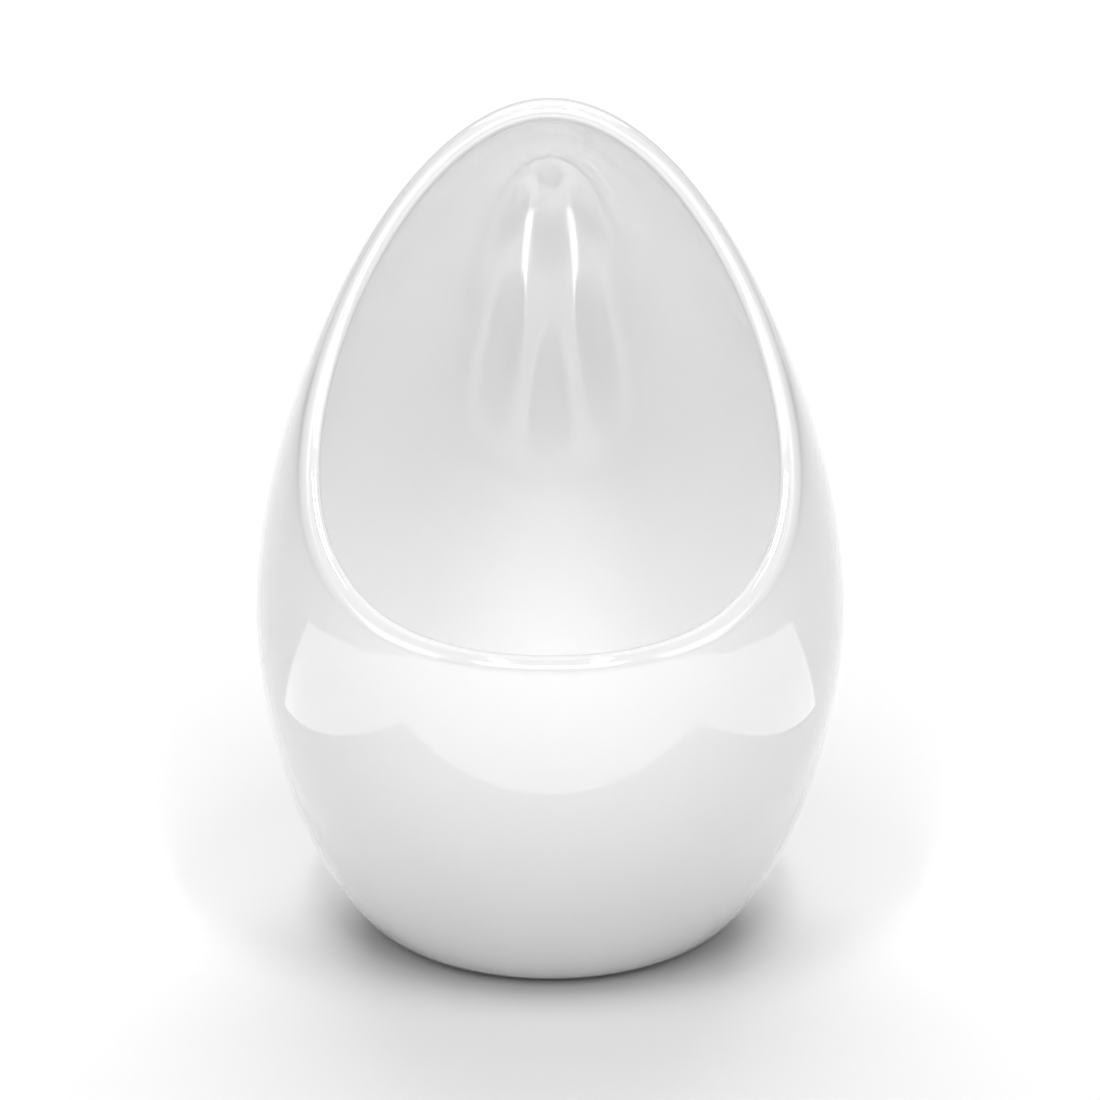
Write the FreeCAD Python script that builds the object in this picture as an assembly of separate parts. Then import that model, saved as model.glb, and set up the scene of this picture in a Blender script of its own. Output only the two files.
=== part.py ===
import FreeCAD, Part
import math
import os

from FreeCAD import Vector

# Egg holder: an egg-shaped double-walled housing, open at its upper front, with a
# lift-out tray low in its bowl. Millimetres. +Z is up, -Y is the open front, and the
# origin is on the table, under the middle of the base.

# Outside of the egg: two cubic curves that meet at the belly
EGG_TOP = 300.0             # crown above the table
BELLY_RADIUS = 103.0
BELLY_HEIGHT = 119.0        # widest level above the table
CROWN_REACH = 53.0          # how far the crown runs level before it falls
BELLY_RISE = 71.5           # how far the side stays upright above the belly
BELLY_DROP = 49.5           # how far the side stays upright below the belly
BASE_RADIUS = 49.5          # flat underside
BASE_REACH = 29.5           # how far the underside runs level past the flat

# Mouth: one cubic curve seen from the side, cut straight through from side to side
LIP_HEIGHT = 134.0          # lowest point of the lip, at the front
LIP_REACH = 58.0            # how far the lip runs level before it climbs
HOOD_FORWARD = 5.0          # how far the crown end of the mouth lies in front of the axis
HOOD_DROP = 85.0            # how far the crown end of the mouth falls upright
MOUTH_OVERRUN = 9.0         # the curve starts and ends this far outside the egg

# Wall
LIP_THICKNESS = 6.4         # whole double wall, as seen at the lip
LIP_ROUND = 2.7
SHELL_SKIN = 2.2
LINER_SKIN = 2.0
RETURN_SKIN = 2.0           # the lip's return inside the mouth
LIP_DEPTH = 3.2             # solid part of the lip
RETURN_LENGTH = 8.0         # from the lip's edge to the end of the return
JOINT_GAP = 0.3             # open joint between return and liner
SLIDE_GAP = 0.3             # each side of a tongue in its groove
JOGGLE_LENGTH = 2.5         # full-thickness step of the liner behind the return

# Parting between front and rear shell
PARTING_BACK = 10.0         # plane behind the axis
PARTING_TONGUE = 5.0        # how far the front shell's tongue reaches into the rear
PARTING_ROOT = 4.0          # how far the tongue is backed on its own side
TONGUE_SKIN = 1.2
TONGUE_LOW = 15.0           # above the egg's underside
TONGUE_STOP = 95.0          # below the crown, clear of the liner's edge

# Base
FOOT_PROUD = 1.0            # pads below the egg's underside
PLATE_THICKNESS = 2.4
BASE_OPENING = 44.0         # radius of the recess for the plate
PLATE_GAP = 0.3
LEDGE_THICKNESS = 2.4
LEDGE_RADIUS = 31.0         # inner edge of the ledge
RIB_HEIGHT = 5.0
RIB_SKIN = 1.6
PAD_RADIUS = 6.0
PAD_RECESS = 1.2
PAD_GAP = 0.2
PAD_CIRCLE = 33.0
PAD_ROUND = 0.6

# Screws
SCREW_RADIUS = 1.5
SCREW_LENGTH = 10.0
SCREW_HEAD_RADIUS = 2.9
SCREW_HEAD_DEPTH = 1.4
SCREW_SUNK = 0.2            # head below the underside
SCREW_BITE_GAP = 0.05       # thread to pilot hole
SCREW_PASS_GAP = 0.25       # thread to clearance hole
DRIVE_WIDTH = 0.8
DRIVE_LENGTH = 3.4
DRIVE_DEPTH = 0.9
BOSS_RADIUS = 4.3
BOSS_CIRCLE = 37.5
BOSS_COVER = 2.0            # boss material past the screw's tip
POST_CIRCLE = 18.0

# Bowl
FLOOR_CLEAR = 0.8           # under the bowl's flat floor, above the bosses
FLOOR_ROUND = 10.0

# Tray
TRAY_HEIGHT = 30.0          # from the bowl's floor to the tray's top
TRAY_INSET = 33.0           # from the belly to the tray's edge
TRAY_MARGIN = 5.5           # from the outer egg holes to the tray's edge
TRAY_SKIN = 2.4
TRAY_ROUND = 0.9
SKIRT_DEPTH = 9.0
SKIRT_SKIN = 1.8
EGG_HOLE_RADIUS = 17.5
COLLAR_DEPTH = 8.0
COLLAR_SKIN = 1.5
COLLAR_TAPER = 1.2          # how much the collar closes in towards its foot
LEG_RADIUS = 3.5
LEG_FOOT_RADIUS = 2.8
LEG_OUTWARD = 5.0           # legs outside the circle of egg holes
FINGER_RADIUS = 12.0        # finger notches in the tray's edge
FINGER_OUTWARD = 2.0        # notch centre outside the tray's edge

EGG_BOTTOM = FOOT_PROUD
PLATE_TOP = EGG_BOTTOM + PLATE_THICKNESS
LEDGE_TOP = PLATE_TOP + LEDGE_THICKNESS
FAR = BELLY_RADIUS + MOUTH_OVERRUN
TONGUE_OUTSIDE = SHELL_SKIN + SLIDE_GAP
RETURN_BACK = LIP_THICKNESS - RETURN_SKIN
JOINT_DEPTH = RETURN_LENGTH + JOINT_GAP
TONGUE_FOOT = EGG_BOTTOM + TONGUE_LOW
TONGUE_HEAD = EGG_TOP - TONGUE_STOP
HEAD_BOTTOM = EGG_BOTTOM + SCREW_SUNK
SCREW_TIP = HEAD_BOTTOM + SCREW_LENGTH
SEAT_RADIUS = SCREW_HEAD_RADIUS + SCREW_PASS_GAP
BOSS_TOP = SCREW_TIP + BOSS_COVER
FLOOR_HEIGHT = BOSS_TOP + FLOOR_CLEAR + LINER_SKIN
TRAY_TOP = FLOOR_HEIGHT + TRAY_HEIGHT
TRAY_RADIUS = BELLY_RADIUS - TRAY_INSET
EGG_PITCH = TRAY_RADIUS - TRAY_MARGIN - EGG_HOLE_RADIUS
TRAY_UNDERSIDE = TRAY_TOP - TRAY_SKIN
COLLAR_FOOT = TRAY_UNDERSIDE - COLLAR_DEPTH
TOUCH = 0.001               # edges this near a face lie on it
AXIS = Vector(0, 0, 1)
ORIGIN = Vector(0, 0, 0)


def parallel(poles, distance):
    """Poles of the cubic curve that runs beside this one, distance to its right."""
    normals = []
    for (across, height), (next_across, next_height) in zip(poles, poles[1:]):
        normals.append(Vector(next_height - height, 0, across - next_across).normalize())
    shifted = []
    for pole, before, after in zip(poles, normals[:1] + normals, normals + normals[-1:]):
        mitre = (before + after) / (1 + before.dot(after))
        shifted.append(Vector(pole[0], 0, pole[1]) + mitre * distance)
    return shifted


def closed_face(curves, corners):
    """Face in the XZ plane inside a chain of cubic curves and straight lines."""
    edges = []
    for poles in curves:
        curve = Part.BezierCurve()
        curve.setPoles(poles)
        edges.append(curve.toShape())
    stops = [curves[-1][-1]] + corners + [curves[0][0]]
    for start, end in zip(stops, stops[1:]):
        edges.append(Part.LineSegment(start, end).toShape())
    return Part.Face(Part.Wire(edges))


def egg(depth):
    """The egg's solid, with its surface set in by depth."""
    upper = [
        (0, EGG_TOP),
        (CROWN_REACH, EGG_TOP),
        (BELLY_RADIUS, BELLY_HEIGHT + BELLY_RISE),
        (BELLY_RADIUS, BELLY_HEIGHT),
    ]
    lower = [
        (BELLY_RADIUS, BELLY_HEIGHT),
        (BELLY_RADIUS, BELLY_HEIGHT - BELLY_DROP),
        (BASE_RADIUS + BASE_REACH, EGG_BOTTOM),
        (BASE_RADIUS, EGG_BOTTOM),
    ]
    side = [parallel(upper, depth), parallel(lower, depth)]
    face = closed_face(side, [Vector(0, 0, EGG_BOTTOM + depth)])
    return face.revolve(ORIGIN, AXIS, 360)


def mouth(reach):
    """The space in front of and above the mouth, grown into the wall by reach."""
    top = EGG_TOP + MOUTH_OVERRUN
    poles = [
        (-FAR, LIP_HEIGHT),
        (-FAR + LIP_REACH, LIP_HEIGHT),
        (-HOOD_FORWARD, top - HOOD_DROP),
        (-HOOD_FORWARD, top),
    ]
    face = closed_face([parallel(poles, reach)], [Vector(-FAR, 0, top)])
    face.rotate(ORIGIN, AXIS, 90)
    face.translate(Vector(-FAR, 0, 0))
    return face.extrude(Vector(2 * FAR, 0, 0))


def band(near, far):
    """The band that runs round the mouth, from near to far away from its edge."""
    return mouth(far).cut(mouth(near))


def layer(outer, inner):
    """The egg-shaped skin between two depths."""
    return egg(outer).cut(egg(inner))


def slab(y_low, y_high, z_low, z_high):
    """A block as wide as the egg."""
    return Part.makeBox(2 * FAR, y_high - y_low, z_high - z_low, Vector(-FAR, y_low, z_low))


def disc(radius, z_low, z_high, x=0.0, y=0.0):
    return Part.makeCylinder(radius, z_high - z_low, Vector(x, y, z_low))


def ring(outer, inner, z_low, z_high):
    return disc(outer, z_low, z_high).cut(disc(inner, z_low, z_high))


def on_circle(radius, count, first_degrees):
    """Points evenly spaced round the axis."""
    places = []
    for number in range(count):
        angle = math.radians(first_degrees + number * 360 / count)
        places.append((radius * math.cos(angle), radius * math.sin(angle)))
    return places


BOSS_PLACES = on_circle(BOSS_CIRCLE, 4, 45)
POST_PLACES = on_circle(POST_CIRCLE, 3, 90)


def lipped_wall():
    """The whole double wall as one thickness, with the mouth cut and its lip rounded."""
    opening = mouth(0)
    wall = layer(0, LIP_THICKNESS).cut(opening)
    lip_edges = []
    for edge in wall.Edges:
        middle = edge.valueAt((edge.FirstParameter + edge.LastParameter) / 2)
        if opening.Shells[0].distToShape(Part.Vertex(middle))[0] < TOUCH:
            lip_edges.append(edge)
    return wall.makeFillet(LIP_ROUND, lip_edges)


def base_ledge():
    """Ledge and bosses that carry the base plate's screws."""
    ledge = ring(BASE_RADIUS, LEDGE_RADIUS, EGG_BOTTOM, LEDGE_TOP)
    bosses = []
    for x, y in BOSS_PLACES:
        bosses.append(disc(BOSS_RADIUS, PLATE_TOP, BOSS_TOP, x, y))
    return ledge.fuse(bosses)


def pilot_holes(places):
    holes = []
    for x, y in places:
        holes.append(disc(SCREW_RADIUS + SCREW_BITE_GAP, EGG_BOTTOM, SCREW_TIP, x, y))
    return Part.makeCompound(holes)


def half_shell(skin, y_low, y_high):
    """One half of the outer shell, from its skin and the ledge round the base."""
    half = skin.fuse(base_ledge()).common(slab(y_low, y_high, 0, EGG_TOP))
    return half.cut(disc(BASE_OPENING, EGG_BOTTOM, PLATE_TOP)).cut(pilot_holes(BOSS_PLACES))


def front_shell():
    hollow = egg(SHELL_SKIN).cut(mouth(LIP_DEPTH))
    hollow = hollow.cut(egg(RETURN_BACK).common(mouth(RETURN_LENGTH)))
    front = half_shell(lipped_wall().cut(hollow), -FAR, PARTING_BACK)
    root_start = PARTING_BACK - PARTING_ROOT
    tongue_end = PARTING_BACK + PARTING_TONGUE
    root = layer(SHELL_SKIN, TONGUE_OUTSIDE + TONGUE_SKIN)
    root = root.common(slab(root_start, PARTING_BACK, TONGUE_FOOT, TONGUE_HEAD))
    tongue = layer(TONGUE_OUTSIDE, TONGUE_OUTSIDE + TONGUE_SKIN)
    tongue = tongue.common(slab(root_start, tongue_end, TONGUE_FOOT, TONGUE_HEAD))
    return front.fuse([root, tongue]).removeSplitter()


def rear_shell():
    return half_shell(layer(0, SHELL_SKIN), PARTING_BACK, FAR)


def scoop(depth, floor, corner):
    """The bowl's solid: the egg set in by depth, with a flat floor and a rounded corner."""
    body = egg(depth).common(slab(-FAR, FAR, floor, EGG_TOP))
    floor_edges = []
    for edge in body.Edges:
        if abs(edge.BoundBox.ZMax - floor) < TOUCH:
            floor_edges.append(edge)
    return body.makeFillet(corner, floor_edges)


def inner_liner():
    outside = scoop(LIP_THICKNESS - LINER_SKIN, FLOOR_HEIGHT - LINER_SKIN, FLOOR_ROUND + LINER_SKIN)
    inside = scoop(LIP_THICKNESS, FLOOR_HEIGHT, FLOOR_ROUND)
    bowl = outside.cut(inside).cut(mouth(JOINT_DEPTH))
    joggle_end = JOINT_DEPTH + JOGGLE_LENGTH
    joggle = layer(TONGUE_OUTSIDE, LIP_THICKNESS).common(band(JOINT_DEPTH, joggle_end))
    tongue = layer(TONGUE_OUTSIDE, RETURN_BACK - SLIDE_GAP)
    tongue = tongue.common(band(LIP_DEPTH + SLIDE_GAP, joggle_end))
    posts = []
    for x, y in POST_PLACES:
        posts.append(disc(BOSS_RADIUS, PLATE_TOP, FLOOR_HEIGHT - LINER_SKIN / 2, x, y))
    liner = bowl.fuse([joggle, tongue] + posts).removeSplitter()
    return liner.cut(pilot_holes(POST_PLACES))


def base_plate():
    plate = disc(BASE_OPENING - PLATE_GAP, EGG_BOTTOM, PLATE_TOP)
    rib_radius = LEDGE_RADIUS - PLATE_GAP
    rib = ring(rib_radius, rib_radius - RIB_SKIN, PLATE_TOP, PLATE_TOP + RIB_HEIGHT)
    plate = plate.fuse(rib).removeSplitter()
    for x, y in on_circle(PAD_CIRCLE, 4, 0):
        recess = disc(PAD_RADIUS + PAD_GAP, EGG_BOTTOM, EGG_BOTTOM + PAD_RECESS, x, y)
        plate = plate.cut(recess)
    for x, y in BOSS_PLACES + POST_PLACES:
        plate = plate.cut(disc(SCREW_RADIUS + SCREW_PASS_GAP, EGG_BOTTOM, PLATE_TOP, x, y))
        plate = plate.cut(screw_head(x, y, SCREW_PASS_GAP))
        plate = plate.cut(disc(SEAT_RADIUS, EGG_BOTTOM, HEAD_BOTTOM, x, y))
    return plate


def screw_head(x, y, grown):
    """Countersunk head; grown makes the seat that holds it."""
    cone_foot = Vector(x, y, HEAD_BOTTOM)
    head_radius = SCREW_HEAD_RADIUS + grown
    return Part.makeCone(head_radius, SCREW_RADIUS + grown, SCREW_HEAD_DEPTH, cone_foot)


def screw(x, y):
    body = screw_head(x, y, 0).fuse(disc(SCREW_RADIUS, HEAD_BOTTOM, SCREW_TIP, x, y))
    for length, width in ((DRIVE_LENGTH, DRIVE_WIDTH), (DRIVE_WIDTH, DRIVE_LENGTH)):
        corner = Vector(x - length / 2, y - width / 2, HEAD_BOTTOM)
        body = body.cut(Part.makeBox(length, width, DRIVE_DEPTH, corner))
    return body.removeSplitter()


def screws(places):
    return Part.makeCompound([screw(x, y) for x, y in places])


def foot_pad(x, y):
    pad = disc(PAD_RADIUS, 0, EGG_BOTTOM + PAD_RECESS, x, y)
    low_edges = [edge for edge in pad.Edges if edge.BoundBox.ZMax < EGG_BOTTOM / 2]
    return pad.makeFillet(PAD_ROUND, low_edges)


def collar(x, y, radius):
    """Cone that closes in towards the foot of a collar, radius wide at the tray's top."""
    foot = Vector(x, y, COLLAR_FOOT)
    return Part.makeCone(radius - COLLAR_TAPER, radius, TRAY_TOP - COLLAR_FOOT, foot)


def finger_notches():
    """Walls and cut-outs of the two notches in the tray's edge."""
    skirt_foot = TRAY_TOP - SKIRT_DEPTH
    walls = []
    cuts = []
    for x, y in on_circle(TRAY_RADIUS + FINGER_OUTWARD, 2, 0):
        wall = disc(FINGER_RADIUS + SKIRT_SKIN, skirt_foot, TRAY_TOP, x, y)
        walls.append(wall.common(disc(TRAY_RADIUS, skirt_foot, TRAY_TOP)))
        cuts.append(disc(FINGER_RADIUS, skirt_foot, TRAY_TOP, x, y))
    return walls, cuts


def egg_tray():
    plate = disc(TRAY_RADIUS, TRAY_UNDERSIDE, TRAY_TOP)
    skirt = ring(TRAY_RADIUS, TRAY_RADIUS - SKIRT_SKIN, TRAY_TOP - SKIRT_DEPTH, TRAY_TOP)
    hole_places = [(0.0, 0.0)] + on_circle(EGG_PITCH, 6, 30)
    collars = [collar(x, y, EGG_HOLE_RADIUS + COLLAR_SKIN) for x, y in hole_places]
    holes = [collar(x, y, EGG_HOLE_RADIUS) for x, y in hole_places]
    walls, notches = finger_notches()
    legs = []
    for x, y in on_circle(EGG_PITCH + LEG_OUTWARD, 6, 0):
        foot = Vector(x, y, FLOOR_HEIGHT)
        leg_height = TRAY_UNDERSIDE - FLOOR_HEIGHT
        legs.append(Part.makeCone(LEG_FOOT_RADIUS, LEG_RADIUS, leg_height, foot))
    tray = plate.fuse([skirt] + collars + walls + legs).removeSplitter()
    tray = tray.cut(holes + notches).removeSplitter()
    top_edges = [edge for edge in tray.Edges if edge.BoundBox.ZMin > TRAY_TOP - TOUCH]
    return tray.makeFillet(TRAY_ROUND, top_edges)


PAD_NAMES = ("right", "back", "left", "front")


def build():
    parts = {
        "front_shell": front_shell(),
        "rear_shell": rear_shell(),
        "inner_liner": inner_liner(),
        "base_plate": base_plate(),
        "shell_screws": screws(BOSS_PLACES),
        "liner_screws": screws(POST_PLACES),
        "egg_tray": egg_tray(),
    }
    for name, (x, y) in zip(PAD_NAMES, on_circle(PAD_CIRCLE, 4, 0)):
        parts["foot_pad_" + name] = foot_pad(x, y)
    return parts


os.makedirs("parts", exist_ok=True)
for node, shape in build().items():
    solids = shape.Solids
    print(node, len(solids), "solids", shape.isValid(), round(shape.Volume), "mm3")
    shape.exportStep("parts/" + node + ".step")
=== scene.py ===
import math

import bmesh
import bpy
import numpy as np
from mathutils import Matrix, Vector


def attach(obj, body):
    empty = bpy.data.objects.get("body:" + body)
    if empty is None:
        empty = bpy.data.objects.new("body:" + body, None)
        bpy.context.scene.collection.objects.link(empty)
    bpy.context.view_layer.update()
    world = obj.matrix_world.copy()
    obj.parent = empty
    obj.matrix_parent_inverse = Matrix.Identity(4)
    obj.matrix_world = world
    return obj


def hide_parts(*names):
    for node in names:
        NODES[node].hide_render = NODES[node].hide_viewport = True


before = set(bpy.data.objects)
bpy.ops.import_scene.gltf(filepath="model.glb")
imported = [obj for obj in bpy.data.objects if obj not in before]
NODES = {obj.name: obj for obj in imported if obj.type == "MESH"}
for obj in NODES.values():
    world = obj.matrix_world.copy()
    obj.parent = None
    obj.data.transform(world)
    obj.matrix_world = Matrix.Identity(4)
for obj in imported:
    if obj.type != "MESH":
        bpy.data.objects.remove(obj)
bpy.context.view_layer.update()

MM = 0.001

# Egg holder, in millimetres until a mesh is made. "Side" coordinates are
# (forward, height): forward is the way out of the open front, -Y.
EGG_TOP = 300.0
BELLY_RADIUS = 103.0
BELLY_HEIGHT = 119.0
CROWN_REACH = 53.0
BELLY_RISE = 71.5
BELLY_DROP = 49.5
BASE_RADIUS = 49.5
BASE_REACH = 29.5
EGG_BOTTOM = 1.0
LIP_HEIGHT = 134.0
LIP_REACH = 58.0
HOOD_FORWARD = 5.0
HOOD_DROP = 85.0
MOUTH_OVERRUN = 9.0
LIP_THICKNESS = 6.4
SHELL_SKIN = 2.2
LINER_SKIN = 2.0
RETURN_LENGTH = 8.0
LIP_DEPTH = 3.2
LINER_START = 8.3
PARTING = 10.0
SEAM_HALF = 0.06
BASE_OPENING = 44.0
FLOOR_HEIGHT = 16.0

HALF_RING = 112             # quads on each side of a ring round the mouth
FINE_BAND = 14.0            # rings follow the mouth's own curve this far from its edge
PROFILE_POINTS = 4000
CURVE_POINTS = 3000
EDGE_RINGS = 8              # between the fine band and the start of the lip's round
LIP_RINGS = 17
RETURN_RINGS = 5
OUTER_RINGS = 84            # from the fine band to the base
HIDDEN_RINGS = 40
BEND_RINGS = 9              # round the corner between the liner's wall and floor
CORNER_HEIGHT = 6.0
FLOOR_STEPS = (0.75, 0.5, 0.25, 0.0)
WELD = 1e-7                 # metres
SMOOTH_ANGLE = math.radians(35)


# ---------------------------------------------------------------- egg geometry

def bezier(poles, count):
    """Points on a cubic curve."""
    step = np.linspace(0, 1, count)[:, None]
    a, b, c, d = (np.array(pole, float) for pole in poles)
    back = 1 - step
    return back**3 * a + 3 * back**2 * step * b + 3 * back * step**2 * c + step**3 * d


def parallel(poles, distance):
    """Poles of the cubic curve that runs beside this one, distance to its right."""
    poles = np.array(poles, float)
    legs = np.diff(poles, axis=0)
    normals = np.column_stack([legs[:, 1], -legs[:, 0]])
    normals /= np.linalg.norm(normals, axis=1)[:, None]
    before = np.vstack([normals[:1], normals])
    after = np.vstack([normals, normals[-1:]])
    mitre = (before + after) / (1 + (before * after).sum(axis=1))[:, None]
    return poles + mitre * distance


def egg_side(depth):
    """The egg's side from crown to base as (radius, height), set in by depth."""
    upper = [
        (0, EGG_TOP),
        (CROWN_REACH, EGG_TOP),
        (BELLY_RADIUS, BELLY_HEIGHT + BELLY_RISE),
        (BELLY_RADIUS, BELLY_HEIGHT),
    ]
    lower = [
        (BELLY_RADIUS, BELLY_HEIGHT),
        (BELLY_RADIUS, BELLY_HEIGHT - BELLY_DROP),
        (BASE_RADIUS + BASE_REACH, EGG_BOTTOM),
        (BASE_RADIUS, EGG_BOTTOM),
    ]
    top = bezier(parallel(upper, depth), PROFILE_POINTS)
    foot = bezier(parallel(lower, depth), PROFILE_POINTS)
    return np.vstack([top, foot[1:]])


def mouth_curve(reach):
    """The mouth seen from the side, from lip to crown, grown into the wall by reach."""
    far = BELLY_RADIUS + MOUTH_OVERRUN
    top = EGG_TOP + MOUTH_OVERRUN
    poles = [
        (-far, LIP_HEIGHT),
        (-far + LIP_REACH, LIP_HEIGHT),
        (-HOOD_FORWARD, top - HOOD_DROP),
        (-HOOD_FORWARD, top),
    ]
    curve = bezier(parallel(poles, reach), CURVE_POINTS)
    return np.column_stack([-curve[:, 0], curve[:, 1]])


def clip_to_egg(curve, side):
    """The stretch of a side curve that lies inside the egg, resampled evenly in its own step."""
    radius = np.interp(curve[:, 1], side[::-1, 1], side[::-1, 0], left=0, right=0)
    room = radius**2 - curve[:, 0] ** 2
    inside = np.flatnonzero(room > 0)
    ends = []
    for near, far in ((inside[0], inside[0] - 1), (inside[-1], inside[-1] + 1)):
        far = min(max(far, 0), len(curve) - 1)
        share = room[near] / max(room[near] - room[far], 1e-9) if far != near else 0
        ends.append(near + (far - near) * min(share, 1))
    turn = np.linspace(0, math.pi, HALF_RING + 1)
    place = ends[0] + (ends[1] - ends[0]) * (1 - np.cos(turn)) / 2
    index = np.arange(len(curve))
    forward = np.interp(place, index, curve[:, 0])
    height = np.interp(place, index, curve[:, 1])
    return np.column_stack([forward, np.clip(height, side[-1, 1], side[0, 1])])


def ring_over(curve, side):
    """Closed ring where a side curve, cut straight across, meets the egg."""
    radius = np.interp(curve[:, 1], side[::-1, 1], side[::-1, 0])
    across = np.sqrt(np.clip(radius**2 - curve[:, 0] ** 2, 0, None))
    across[0] = across[-1] = 0
    right = np.column_stack([across, -curve[:, 0], curve[:, 1]])
    left = right[-2:0:-1] * (-1, 1, 1)
    return np.vstack([right, left])


def mouth_ring(depth, reach):
    """Ring beside the mouth's edge, on the wall's layer at a depth."""
    side = egg_side(depth)
    return ring_over(clip_to_egg(mouth_curve(reach), side), side)


def level_ring(radius, height):
    """Ring round the axis, with the same point order as ring_over."""
    turn = np.linspace(0, 2 * math.pi, 2 * HALF_RING, endpoint=False)
    return np.column_stack([
        radius * np.sin(turn), -radius * np.cos(turn), np.full_like(turn, height)
    ])


def along(path, share):
    """Point at a share of a path's length."""
    gaps = np.linalg.norm(np.diff(path, axis=0), axis=1)
    run = np.concatenate([[0], np.cumsum(gaps)])
    return np.array([np.interp(share * run[-1], run, path[:, axis]) for axis in (0, 1)])


def sweep_rings(depth, stop_height, count):
    """Rings that leave the mouth's fine band and settle level at stop_height."""
    side = egg_side(depth)
    side = side[side[:, 1] >= stop_height]
    first = clip_to_egg(mouth_curve(FINE_BAND), side)
    front_path = side[side[:, 1] <= first[0, 1]]
    back_path = side[side[:, 1] <= first[-1, 1]] * (-1, 1)
    chord = first[-1] - first[0]
    step = np.linspace(0, 1, len(first))[:, None]
    share = (1 - np.cos(math.pi * step)) / 2
    bulge = first - (first[0] + chord * share)
    rings = []
    for number in range(1, count + 1):
        done = number / count
        front = along(front_path, done)
        new_chord = along(back_path, done) - front
        turn = math.atan2(new_chord[1], new_chord[0]) - math.atan2(chord[1], chord[0])
        scale = np.linalg.norm(new_chord) / np.linalg.norm(chord) * (1 - done)
        spin = np.array([[math.cos(turn), -math.sin(turn)], [math.sin(turn), math.cos(turn)]])
        curve = front + new_chord * share + (bulge @ spin.T) * scale
        rings.append(ring_over(curve, side))
    return rings


# ---------------------------------------------------------------- mesh helpers

def loft(rings):
    """A grid bent over a stack of rings, closed round each ring."""
    bm = bmesh.new()
    around = len(rings[0])
    up = len(rings) - 1
    bmesh.ops.create_grid(bm, x_segments=around, y_segments=up, size=0.5)
    for vert in bm.verts:
        column = round((vert.co.x + 0.5) * around) % around
        row = round((vert.co.y + 0.5) * up)
        vert.co = Vector(rings[row][column]) * MM
    bmesh.ops.remove_doubles(bm, verts=bm.verts, dist=WELD)
    bmesh.ops.recalc_face_normals(bm, faces=bm.faces)
    return bm


def show_piece(bm, name, material):
    """Turns a bmesh into a smooth piece of the holder."""
    mesh = bpy.data.meshes.new(name)
    bm.to_mesh(mesh)
    bm.free()
    for face in mesh.polygons:
        face.use_smooth = True
    mesh.materials.append(material)
    piece = bpy.data.objects.new(name, mesh)
    bpy.context.scene.collection.objects.link(piece)
    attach(piece, "holder")
    return piece


def keep_side(bm, y, keep_front):
    """Cuts a closed mesh at a frontal plane, keeps one side and caps the cut."""
    bmesh.ops.bisect_plane(
        bm,
        geom=list(bm.verts) + list(bm.edges) + list(bm.faces),
        dist=WELD,
        plane_co=(0, y * MM, 0),
        plane_no=(0, 1 if keep_front else -1, 0),
        clear_outer=True,
    )
    rims = [edge for edge in bm.edges if edge.is_boundary]
    bmesh.ops.triangle_fill(bm, edges=rims, use_beauty=True)
    bmesh.ops.recalc_face_normals(bm, faces=bm.faces)


# ---------------------------------------------------------------- pieces

def shell_rings():
    """Closed section of the outer shell: outside, rolled lip, return, groove and inside."""
    half = LIP_THICKNESS / 2
    rings = sweep_rings(0, EGG_BOTTOM, OUTER_RINGS)[::-1]
    rings += [mouth_ring(0, reach) for reach in np.linspace(FINE_BAND, half, EDGE_RINGS)]
    for turn in np.linspace(0, math.pi, LIP_RINGS)[1:-1]:
        rings.append(mouth_ring(half * (1 - math.cos(turn)), half * (1 - math.sin(turn))))
    for reach in np.linspace(half, RETURN_LENGTH, RETURN_RINGS):
        rings.append(mouth_ring(LIP_THICKNESS, reach))
    groove = LIP_THICKNESS - LINER_SKIN
    rings.append(mouth_ring(groove, RETURN_LENGTH))
    rings.append(mouth_ring(groove, LIP_DEPTH))
    rings.append(mouth_ring(SHELL_SKIN, LIP_DEPTH))
    rings.append(mouth_ring(SHELL_SKIN, FINE_BAND))
    rings += sweep_rings(SHELL_SKIN, EGG_BOTTOM + SHELL_SKIN, HIDDEN_RINGS)
    rings.append(level_ring(BASE_OPENING, EGG_BOTTOM + SHELL_SKIN))
    rings.append(level_ring(BASE_OPENING, EGG_BOTTOM))
    return rings + rings[:1]


def make_shell(node, keep_front, gloss):
    """Front or rear half of the outer shell, cut a hair short of the seam."""
    bm = loft(shell_rings())
    keep_side(bm, PARTING - SEAM_HALF if keep_front else PARTING + SEAM_HALF, keep_front)
    piece = show_piece(bm, node + "_moulding", gloss)
    piece.data.set_sharp_from_angle(angle=SMOOTH_ANGLE)
    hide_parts(node)


def liner_rings():
    """The liner's inner face: from behind the lip's return down to the middle of the floor."""
    wall_foot = FLOOR_HEIGHT + CORNER_HEIGHT
    rings = [mouth_ring(LIP_THICKNESS, reach) for reach in np.linspace(LINER_START, FINE_BAND, 4)]
    rings += sweep_rings(LIP_THICKNESS, wall_foot, OUTER_RINGS)
    foot_radius = np.linalg.norm(rings[-1][0][:2])
    slope = rings[-1][0] - rings[-2][0]
    lean = math.atan2(-slope[2], abs(slope[1]))
    bend = CORNER_HEIGHT / (1 - math.cos(lean))
    for share in np.linspace(0, 1, BEND_RINGS)[1:]:
        angle = lean * (1 - share)
        radius = foot_radius - bend * (math.sin(lean) - math.sin(angle))
        rings.append(level_ring(radius, FLOOR_HEIGHT + bend * (1 - math.cos(angle))))
    floor_radius = np.linalg.norm(rings[-1][0][:2])
    for share in FLOOR_STEPS:
        rings.append(level_ring(floor_radius * share, FLOOR_HEIGHT))
    return rings


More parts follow.
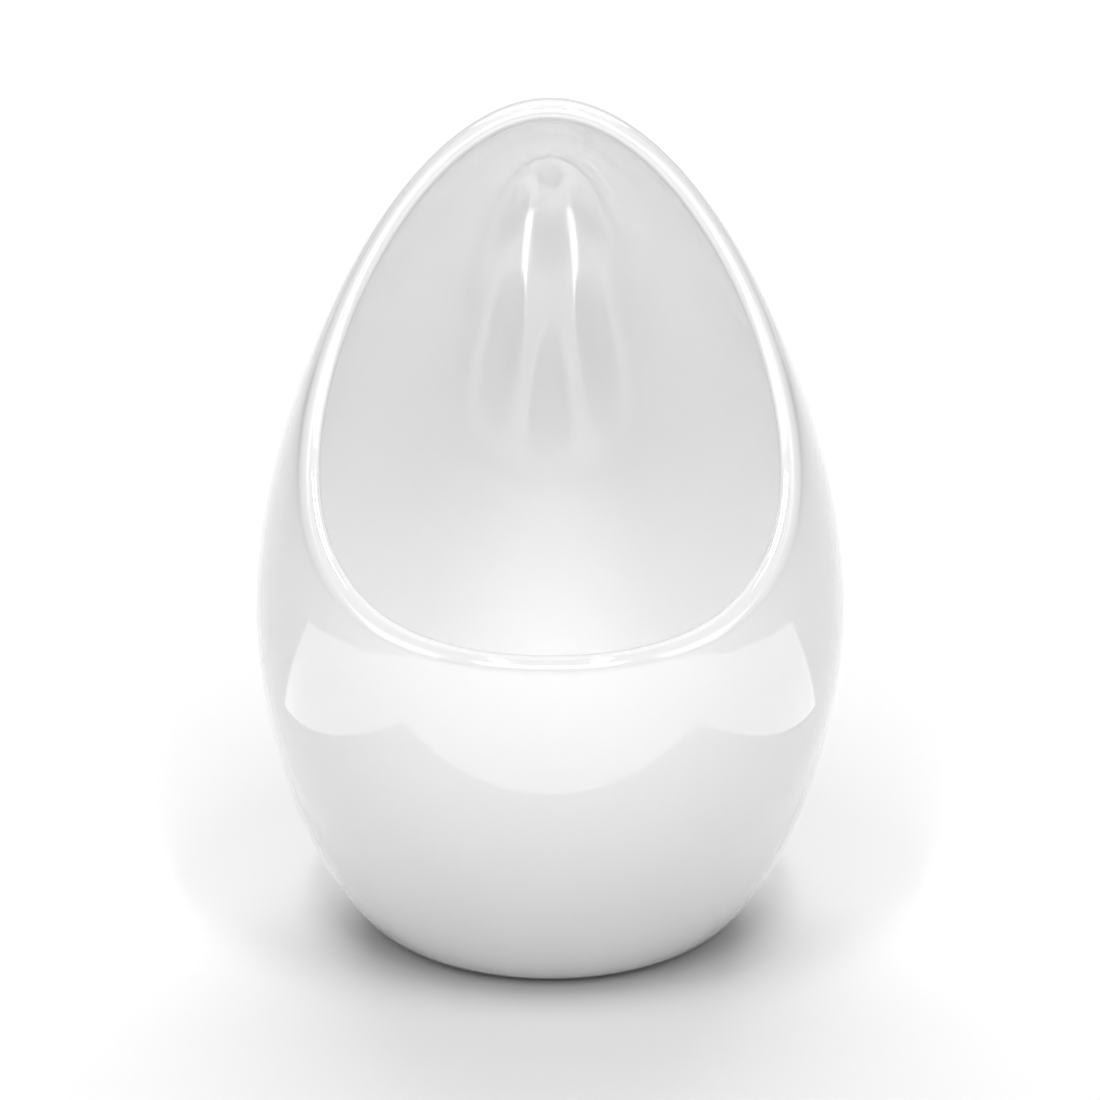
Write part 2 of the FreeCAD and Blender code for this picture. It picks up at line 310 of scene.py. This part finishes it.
def make_liner(gloss):
    """The bowl's skin, thickened outward from its inner face."""
    bm = loft(liner_rings())
    floor = (FLOOR_HEIGHT + 1) * MM
    upward = sum(face.normal.z for face in bm.faces if face.calc_center_median().z < floor)
    if upward < 0:
        bmesh.ops.reverse_faces(bm, faces=bm.faces)
    piece = show_piece(bm, "inner_liner_moulding", gloss)
    skin = piece.modifiers.new("skin", "SOLIDIFY")
    skin.thickness = LINER_SKIN * MM
    skin.offset = -1.0
    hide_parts("inner_liner")


# ---------------------------------------------------------------- materials

def add(tree, kind, x, y, **values):
    """New shader node at a place in its tree, with its settings."""
    node = tree.nodes.new(kind)
    node.location = (x, y)
    for key, value in values.items():
        setattr(node, key, value)
    return node


def moulded_surface_group():
    """Colour, roughness and height of a moulding: flow waves, peel and cloudy haze."""
    group = bpy.data.node_groups.new("moulded_surface", "ShaderNodeTree")
    face = group.interface
    face.new_socket("Colour", in_out="INPUT", socket_type="NodeSocketColor")
    for label in ("Roughness", "Haze", "Wave", "Peel", "Wave Scale"):
        face.new_socket(label, in_out="INPUT", socket_type="NodeSocketFloat")
    face.new_socket("Colour", in_out="OUTPUT", socket_type="NodeSocketColor")
    face.new_socket("Roughness", in_out="OUTPUT", socket_type="NodeSocketFloat")
    face.new_socket("Height", in_out="OUTPUT", socket_type="NodeSocketFloat")
    inputs = add(group, "NodeGroupInput", -900, 0)
    outputs = add(group, "NodeGroupOutput", 700, 0)
    place = add(group, "ShaderNodeTexCoord", -900, -300)
    link = group.links.new

    wave = add(group, "ShaderNodeTexNoise", -600, -200)
    wave.inputs["Detail"].default_value = 1.0
    link(place.outputs["Object"], wave.inputs["Vector"])
    link(inputs.outputs["Wave Scale"], wave.inputs["Scale"])
    peel = add(group, "ShaderNodeTexNoise", -600, -450)
    peel.inputs["Scale"].default_value = 900.0
    peel.inputs["Detail"].default_value = 2.0
    link(place.outputs["Object"], peel.inputs["Vector"])
    wave_height = add(group, "ShaderNodeMath", -300, -200, operation="MULTIPLY")
    link(wave.outputs["Fac"], wave_height.inputs[0])
    link(inputs.outputs["Wave"], wave_height.inputs[1])
    peel_height = add(group, "ShaderNodeMath", -300, -450, operation="MULTIPLY")
    link(peel.outputs["Fac"], peel_height.inputs[0])
    link(inputs.outputs["Peel"], peel_height.inputs[1])
    height = add(group, "ShaderNodeMath", 0, -300, operation="ADD")
    link(wave_height.outputs[0], height.inputs[0])
    link(peel_height.outputs[0], height.inputs[1])
    link(height.outputs[0], outputs.inputs["Height"])

    haze = add(group, "ShaderNodeTexNoise", -600, 50)
    haze.inputs["Scale"].default_value = 26.0
    haze.inputs["Detail"].default_value = 6.0
    haze.inputs["Roughness"].default_value = 0.6
    link(place.outputs["Object"], haze.inputs["Vector"])
    haze_mask = add(group, "ShaderNodeMapRange", -350, 50)
    haze_mask.inputs["From Min"].default_value = 0.45
    haze_mask.inputs["From Max"].default_value = 0.8
    link(haze.outputs["Fac"], haze_mask.inputs["Value"])
    haze_share = add(group, "ShaderNodeMath", -100, 50, operation="MULTIPLY")
    link(haze_mask.outputs["Result"], haze_share.inputs[0])
    link(inputs.outputs["Haze"], haze_share.inputs[1])
    rough = add(group, "ShaderNodeMath", 150, 50, operation="ADD", use_clamp=True)
    link(inputs.outputs["Roughness"], rough.inputs[0])
    link(haze_share.outputs[0], rough.inputs[1])
    link(rough.outputs[0], outputs.inputs["Roughness"])

    tint = add(group, "ShaderNodeMix", 150, 300, data_type="RGBA", blend_type="MULTIPLY")
    shade = add(group, "ShaderNodeMapRange", -100, 300)
    shade.inputs["To Min"].default_value = 0.975
    shade.inputs["To Max"].default_value = 1.0
    link(haze.outputs["Fac"], shade.inputs["Value"])
    tint.inputs["Factor"].default_value = 1.0
    link(inputs.outputs["Colour"], tint.inputs["A"])
    link(shade.outputs["Result"], tint.inputs["B"])
    link(tint.outputs["Result"], outputs.inputs["Colour"])
    return group


def moulded_material(
    name, group, colour, rough, haze, wave, peel, wave_scale, coat=0.0, glaze=1.5, metal=0.0
):
    """Material of a moulded or plated part. Wave and peel are bump heights in millimetres."""
    material = bpy.data.materials.new(name)
    material.use_nodes = True
    tree = material.node_tree
    shader = tree.nodes["Principled BSDF"]
    surface = add(tree, "ShaderNodeGroup", -500, 0, node_tree=group)
    surface.inputs["Colour"].default_value = (*colour, 1)
    surface.inputs["Roughness"].default_value = rough
    surface.inputs["Haze"].default_value = haze
    surface.inputs["Wave"].default_value = wave
    surface.inputs["Peel"].default_value = peel
    surface.inputs["Wave Scale"].default_value = wave_scale
    bump = add(tree, "ShaderNodeBump", -250, -250)
    bump.inputs["Strength"].default_value = 1.0
    bump.inputs["Distance"].default_value = MM
    tree.links.new(surface.outputs["Height"], bump.inputs["Height"])
    tree.links.new(surface.outputs["Colour"], shader.inputs["Base Color"])
    tree.links.new(surface.outputs["Roughness"], shader.inputs["Roughness"])
    tree.links.new(bump.outputs["Normal"], shader.inputs["Normal"])
    shader.inputs["IOR"].default_value = 1.5
    shader.inputs["Metallic"].default_value = metal
    shader.inputs["Coat Weight"].default_value = coat
    shader.inputs["Coat Roughness"].default_value = 0.02
    shader.inputs["Coat IOR"].default_value = glaze
    return material


def dress_cad_node(name, material):
    """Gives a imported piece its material."""
    mesh = NODES[name].data
    mesh.materials.clear()
    mesh.materials.append(material)


# ---------------------------------------------------------------- studio

AIM = Vector((0, 0, 0.1402))
CAMERA_DISTANCE = 1.5
CAMERA_RISE = math.radians(18)
LENS = 140.6
EGG_MIDDLE = (0, 0, 0.15)
WORLD_LIGHT = 0.15
CARD_LIGHT = 0.65
CARD_LIFT = 0.004           # reflector cards lie just above the floor
FLOOR_HALF = 6.0


def make_camera():
    """Camera in front of the mouth, looking down at the egg."""
    data = bpy.data.cameras.new("camera")
    data.lens = LENS
    data.sensor_width = 36.0
    data.clip_end = 50
    camera = bpy.data.objects.new("camera", data)
    offset = Vector((0, -math.cos(CAMERA_RISE), math.sin(CAMERA_RISE))) * CAMERA_DISTANCE
    camera.location = AIM + offset
    camera.rotation_euler = (-offset).to_track_quat("-Z", "Y").to_euler()
    bpy.context.scene.collection.objects.link(camera)
    bpy.context.scene.camera = camera


def area_light(name, place, aim, size, radiance, along=None):
    """Soft light panel, hidden from the camera; radiance is the brightness of its face."""
    data = bpy.data.lights.new(name, "AREA")
    data.shape = "RECTANGLE"
    data.size, data.size_y = size
    data.energy = radiance * math.pi * size[0] * size[1]
    light = bpy.data.objects.new(name, data)
    light.location = place
    facing = (Vector(aim) - Vector(place)).normalized()
    if along is None:
        light.rotation_euler = facing.to_track_quat("-Z", "Y").to_euler()
    else:
        long_side = Vector(along) - facing * facing.dot(Vector(along))
        long_side.normalize()
        short_side = long_side.cross(-facing)
        turn = Matrix((short_side, long_side, -facing)).transposed()
        light.rotation_euler = turn.to_euler()
    light.visible_camera = False
    bpy.context.scene.collection.objects.link(light)


def make_studio():
    """Pale paper floor, dim air and soft lights round the egg."""
    floor_bm = bmesh.new()
    bmesh.ops.create_grid(floor_bm, x_segments=1, y_segments=1, size=FLOOR_HALF)
    mesh = bpy.data.meshes.new("studio_floor")
    floor_bm.to_mesh(mesh)
    floor_bm.free()
    floor = bpy.data.objects.new("studio_floor", mesh)
    bpy.context.scene.collection.objects.link(floor)
    paper = bpy.data.materials.new("studio_paper")
    paper.use_nodes = True
    shader = paper.node_tree.nodes["Principled BSDF"]
    shader.inputs["Base Color"].default_value = (0.6, 0.6, 0.6, 1)
    shader.inputs["Roughness"].default_value = 0.9
    mesh.materials.append(paper)

    world = bpy.data.worlds.new("studio_air")
    world.use_nodes = True
    world.node_tree.nodes["Background"].inputs["Color"].default_value = (1, 1, 1, 1)
    world.node_tree.nodes["Background"].inputs["Strength"].default_value = WORLD_LIGHT
    bpy.context.scene.world = world
    area_light("overhead_softbox", (0, 0.9, 1.8), (0, 0.3, 0.1), (2.2, 1.6), 1.3)
    area_light("backdrop_softbox", (0, 1.9, 1.7), (0, 0.9, 0), (2.4, 1.4), 5.0)
    area_light("backdrop_panel", (0, 2.6, 0.6), (0, 0, 0.6), (4.0, 1.2), 0.5)
    area_light("front_softbox", (0, -2.4, 1.7), EGG_MIDDLE, (2.4, 1.2), 4.4)
    area_light("front_card", (0, -0.5, CARD_LIFT), (0, -0.5, 1), (1.2, 0.6), CARD_LIGHT)
    for side in (-1, 1):
        card = side * 0.44
        area_light("side_softbox", (side * 1.6, -1.3, 1.0), EGG_MIDDLE, (0.9, 1.4), 1.6)
        area_light("side_card", (card, -0.05, CARD_LIFT), (card, -0.05, 1), (0.4, 0.3), CARD_LIGHT)
        area_light(
            "strip_light",
            (side * 0.31, -0.67, 1.55),
            (0, 0, 0.05),
            (0.09, 0.8),
            37.0,
            (-side * 0.19, 0.98, 0),
        )
    bpy.context.scene.view_settings.view_transform = "Standard"


surface = moulded_surface_group()
# Shell and liner are one white gloss plastic. The shell's colour is darkened to 0.62 as painted
# shade for its brightly lit outside.
gloss = moulded_material(
    "gloss_white_shell_painted_shade", surface, (0.62, 0.62, 0.62),
    rough=0.04, haze=0.05, wave=0.05, peel=0.0008, wave_scale=24.0, coat=1.0, glaze=1.6
)
# The liner's colour is raised to 0.97 as painted light, brightening the dimmer bowl.
liner_gloss_painted_light = moulded_material(
    "gloss_white_liner_painted_light", surface, (0.97, 0.97, 0.97),
    rough=0.04, haze=0.05, wave=0.16, peel=0.0008, wave_scale=45.0, coat=1.0, glaze=2.0
)
tray_finish = moulded_material(
    "tray_white", surface, (0.9, 0.9, 0.9),
    rough=0.05, haze=0.04, wave=0.05, peel=0.001, wave_scale=60.0, coat=1.0, glaze=2.0
)
plate_finish = moulded_material(
    "matt_white", surface, (0.8, 0.8, 0.8),
    rough=0.5, haze=0.1, wave=0.02, peel=0.02, wave_scale=30.0
)
pad_finish = moulded_material(
    "pad_silicone", surface, (0.55, 0.56, 0.57),
    rough=0.55, haze=0.2, wave=0.02, peel=0.01, wave_scale=60.0
)
steel = moulded_material(
    "screw_steel", surface, (0.6, 0.6, 0.62),
    rough=0.3, haze=0.2, wave=0.01, peel=0.004, wave_scale=200.0, metal=1.0
)

make_shell("front_shell", True, gloss)
make_shell("rear_shell", False, gloss)
make_liner(liner_gloss_painted_light)
dress_cad_node("egg_tray", tray_finish)
dress_cad_node("base_plate", plate_finish)
dress_cad_node("shell_screws", steel)
dress_cad_node("liner_screws", steel)
for place in ("right", "back", "left", "front"):
    dress_cad_node("foot_pad_" + place, pad_finish)

make_studio()
make_camera()
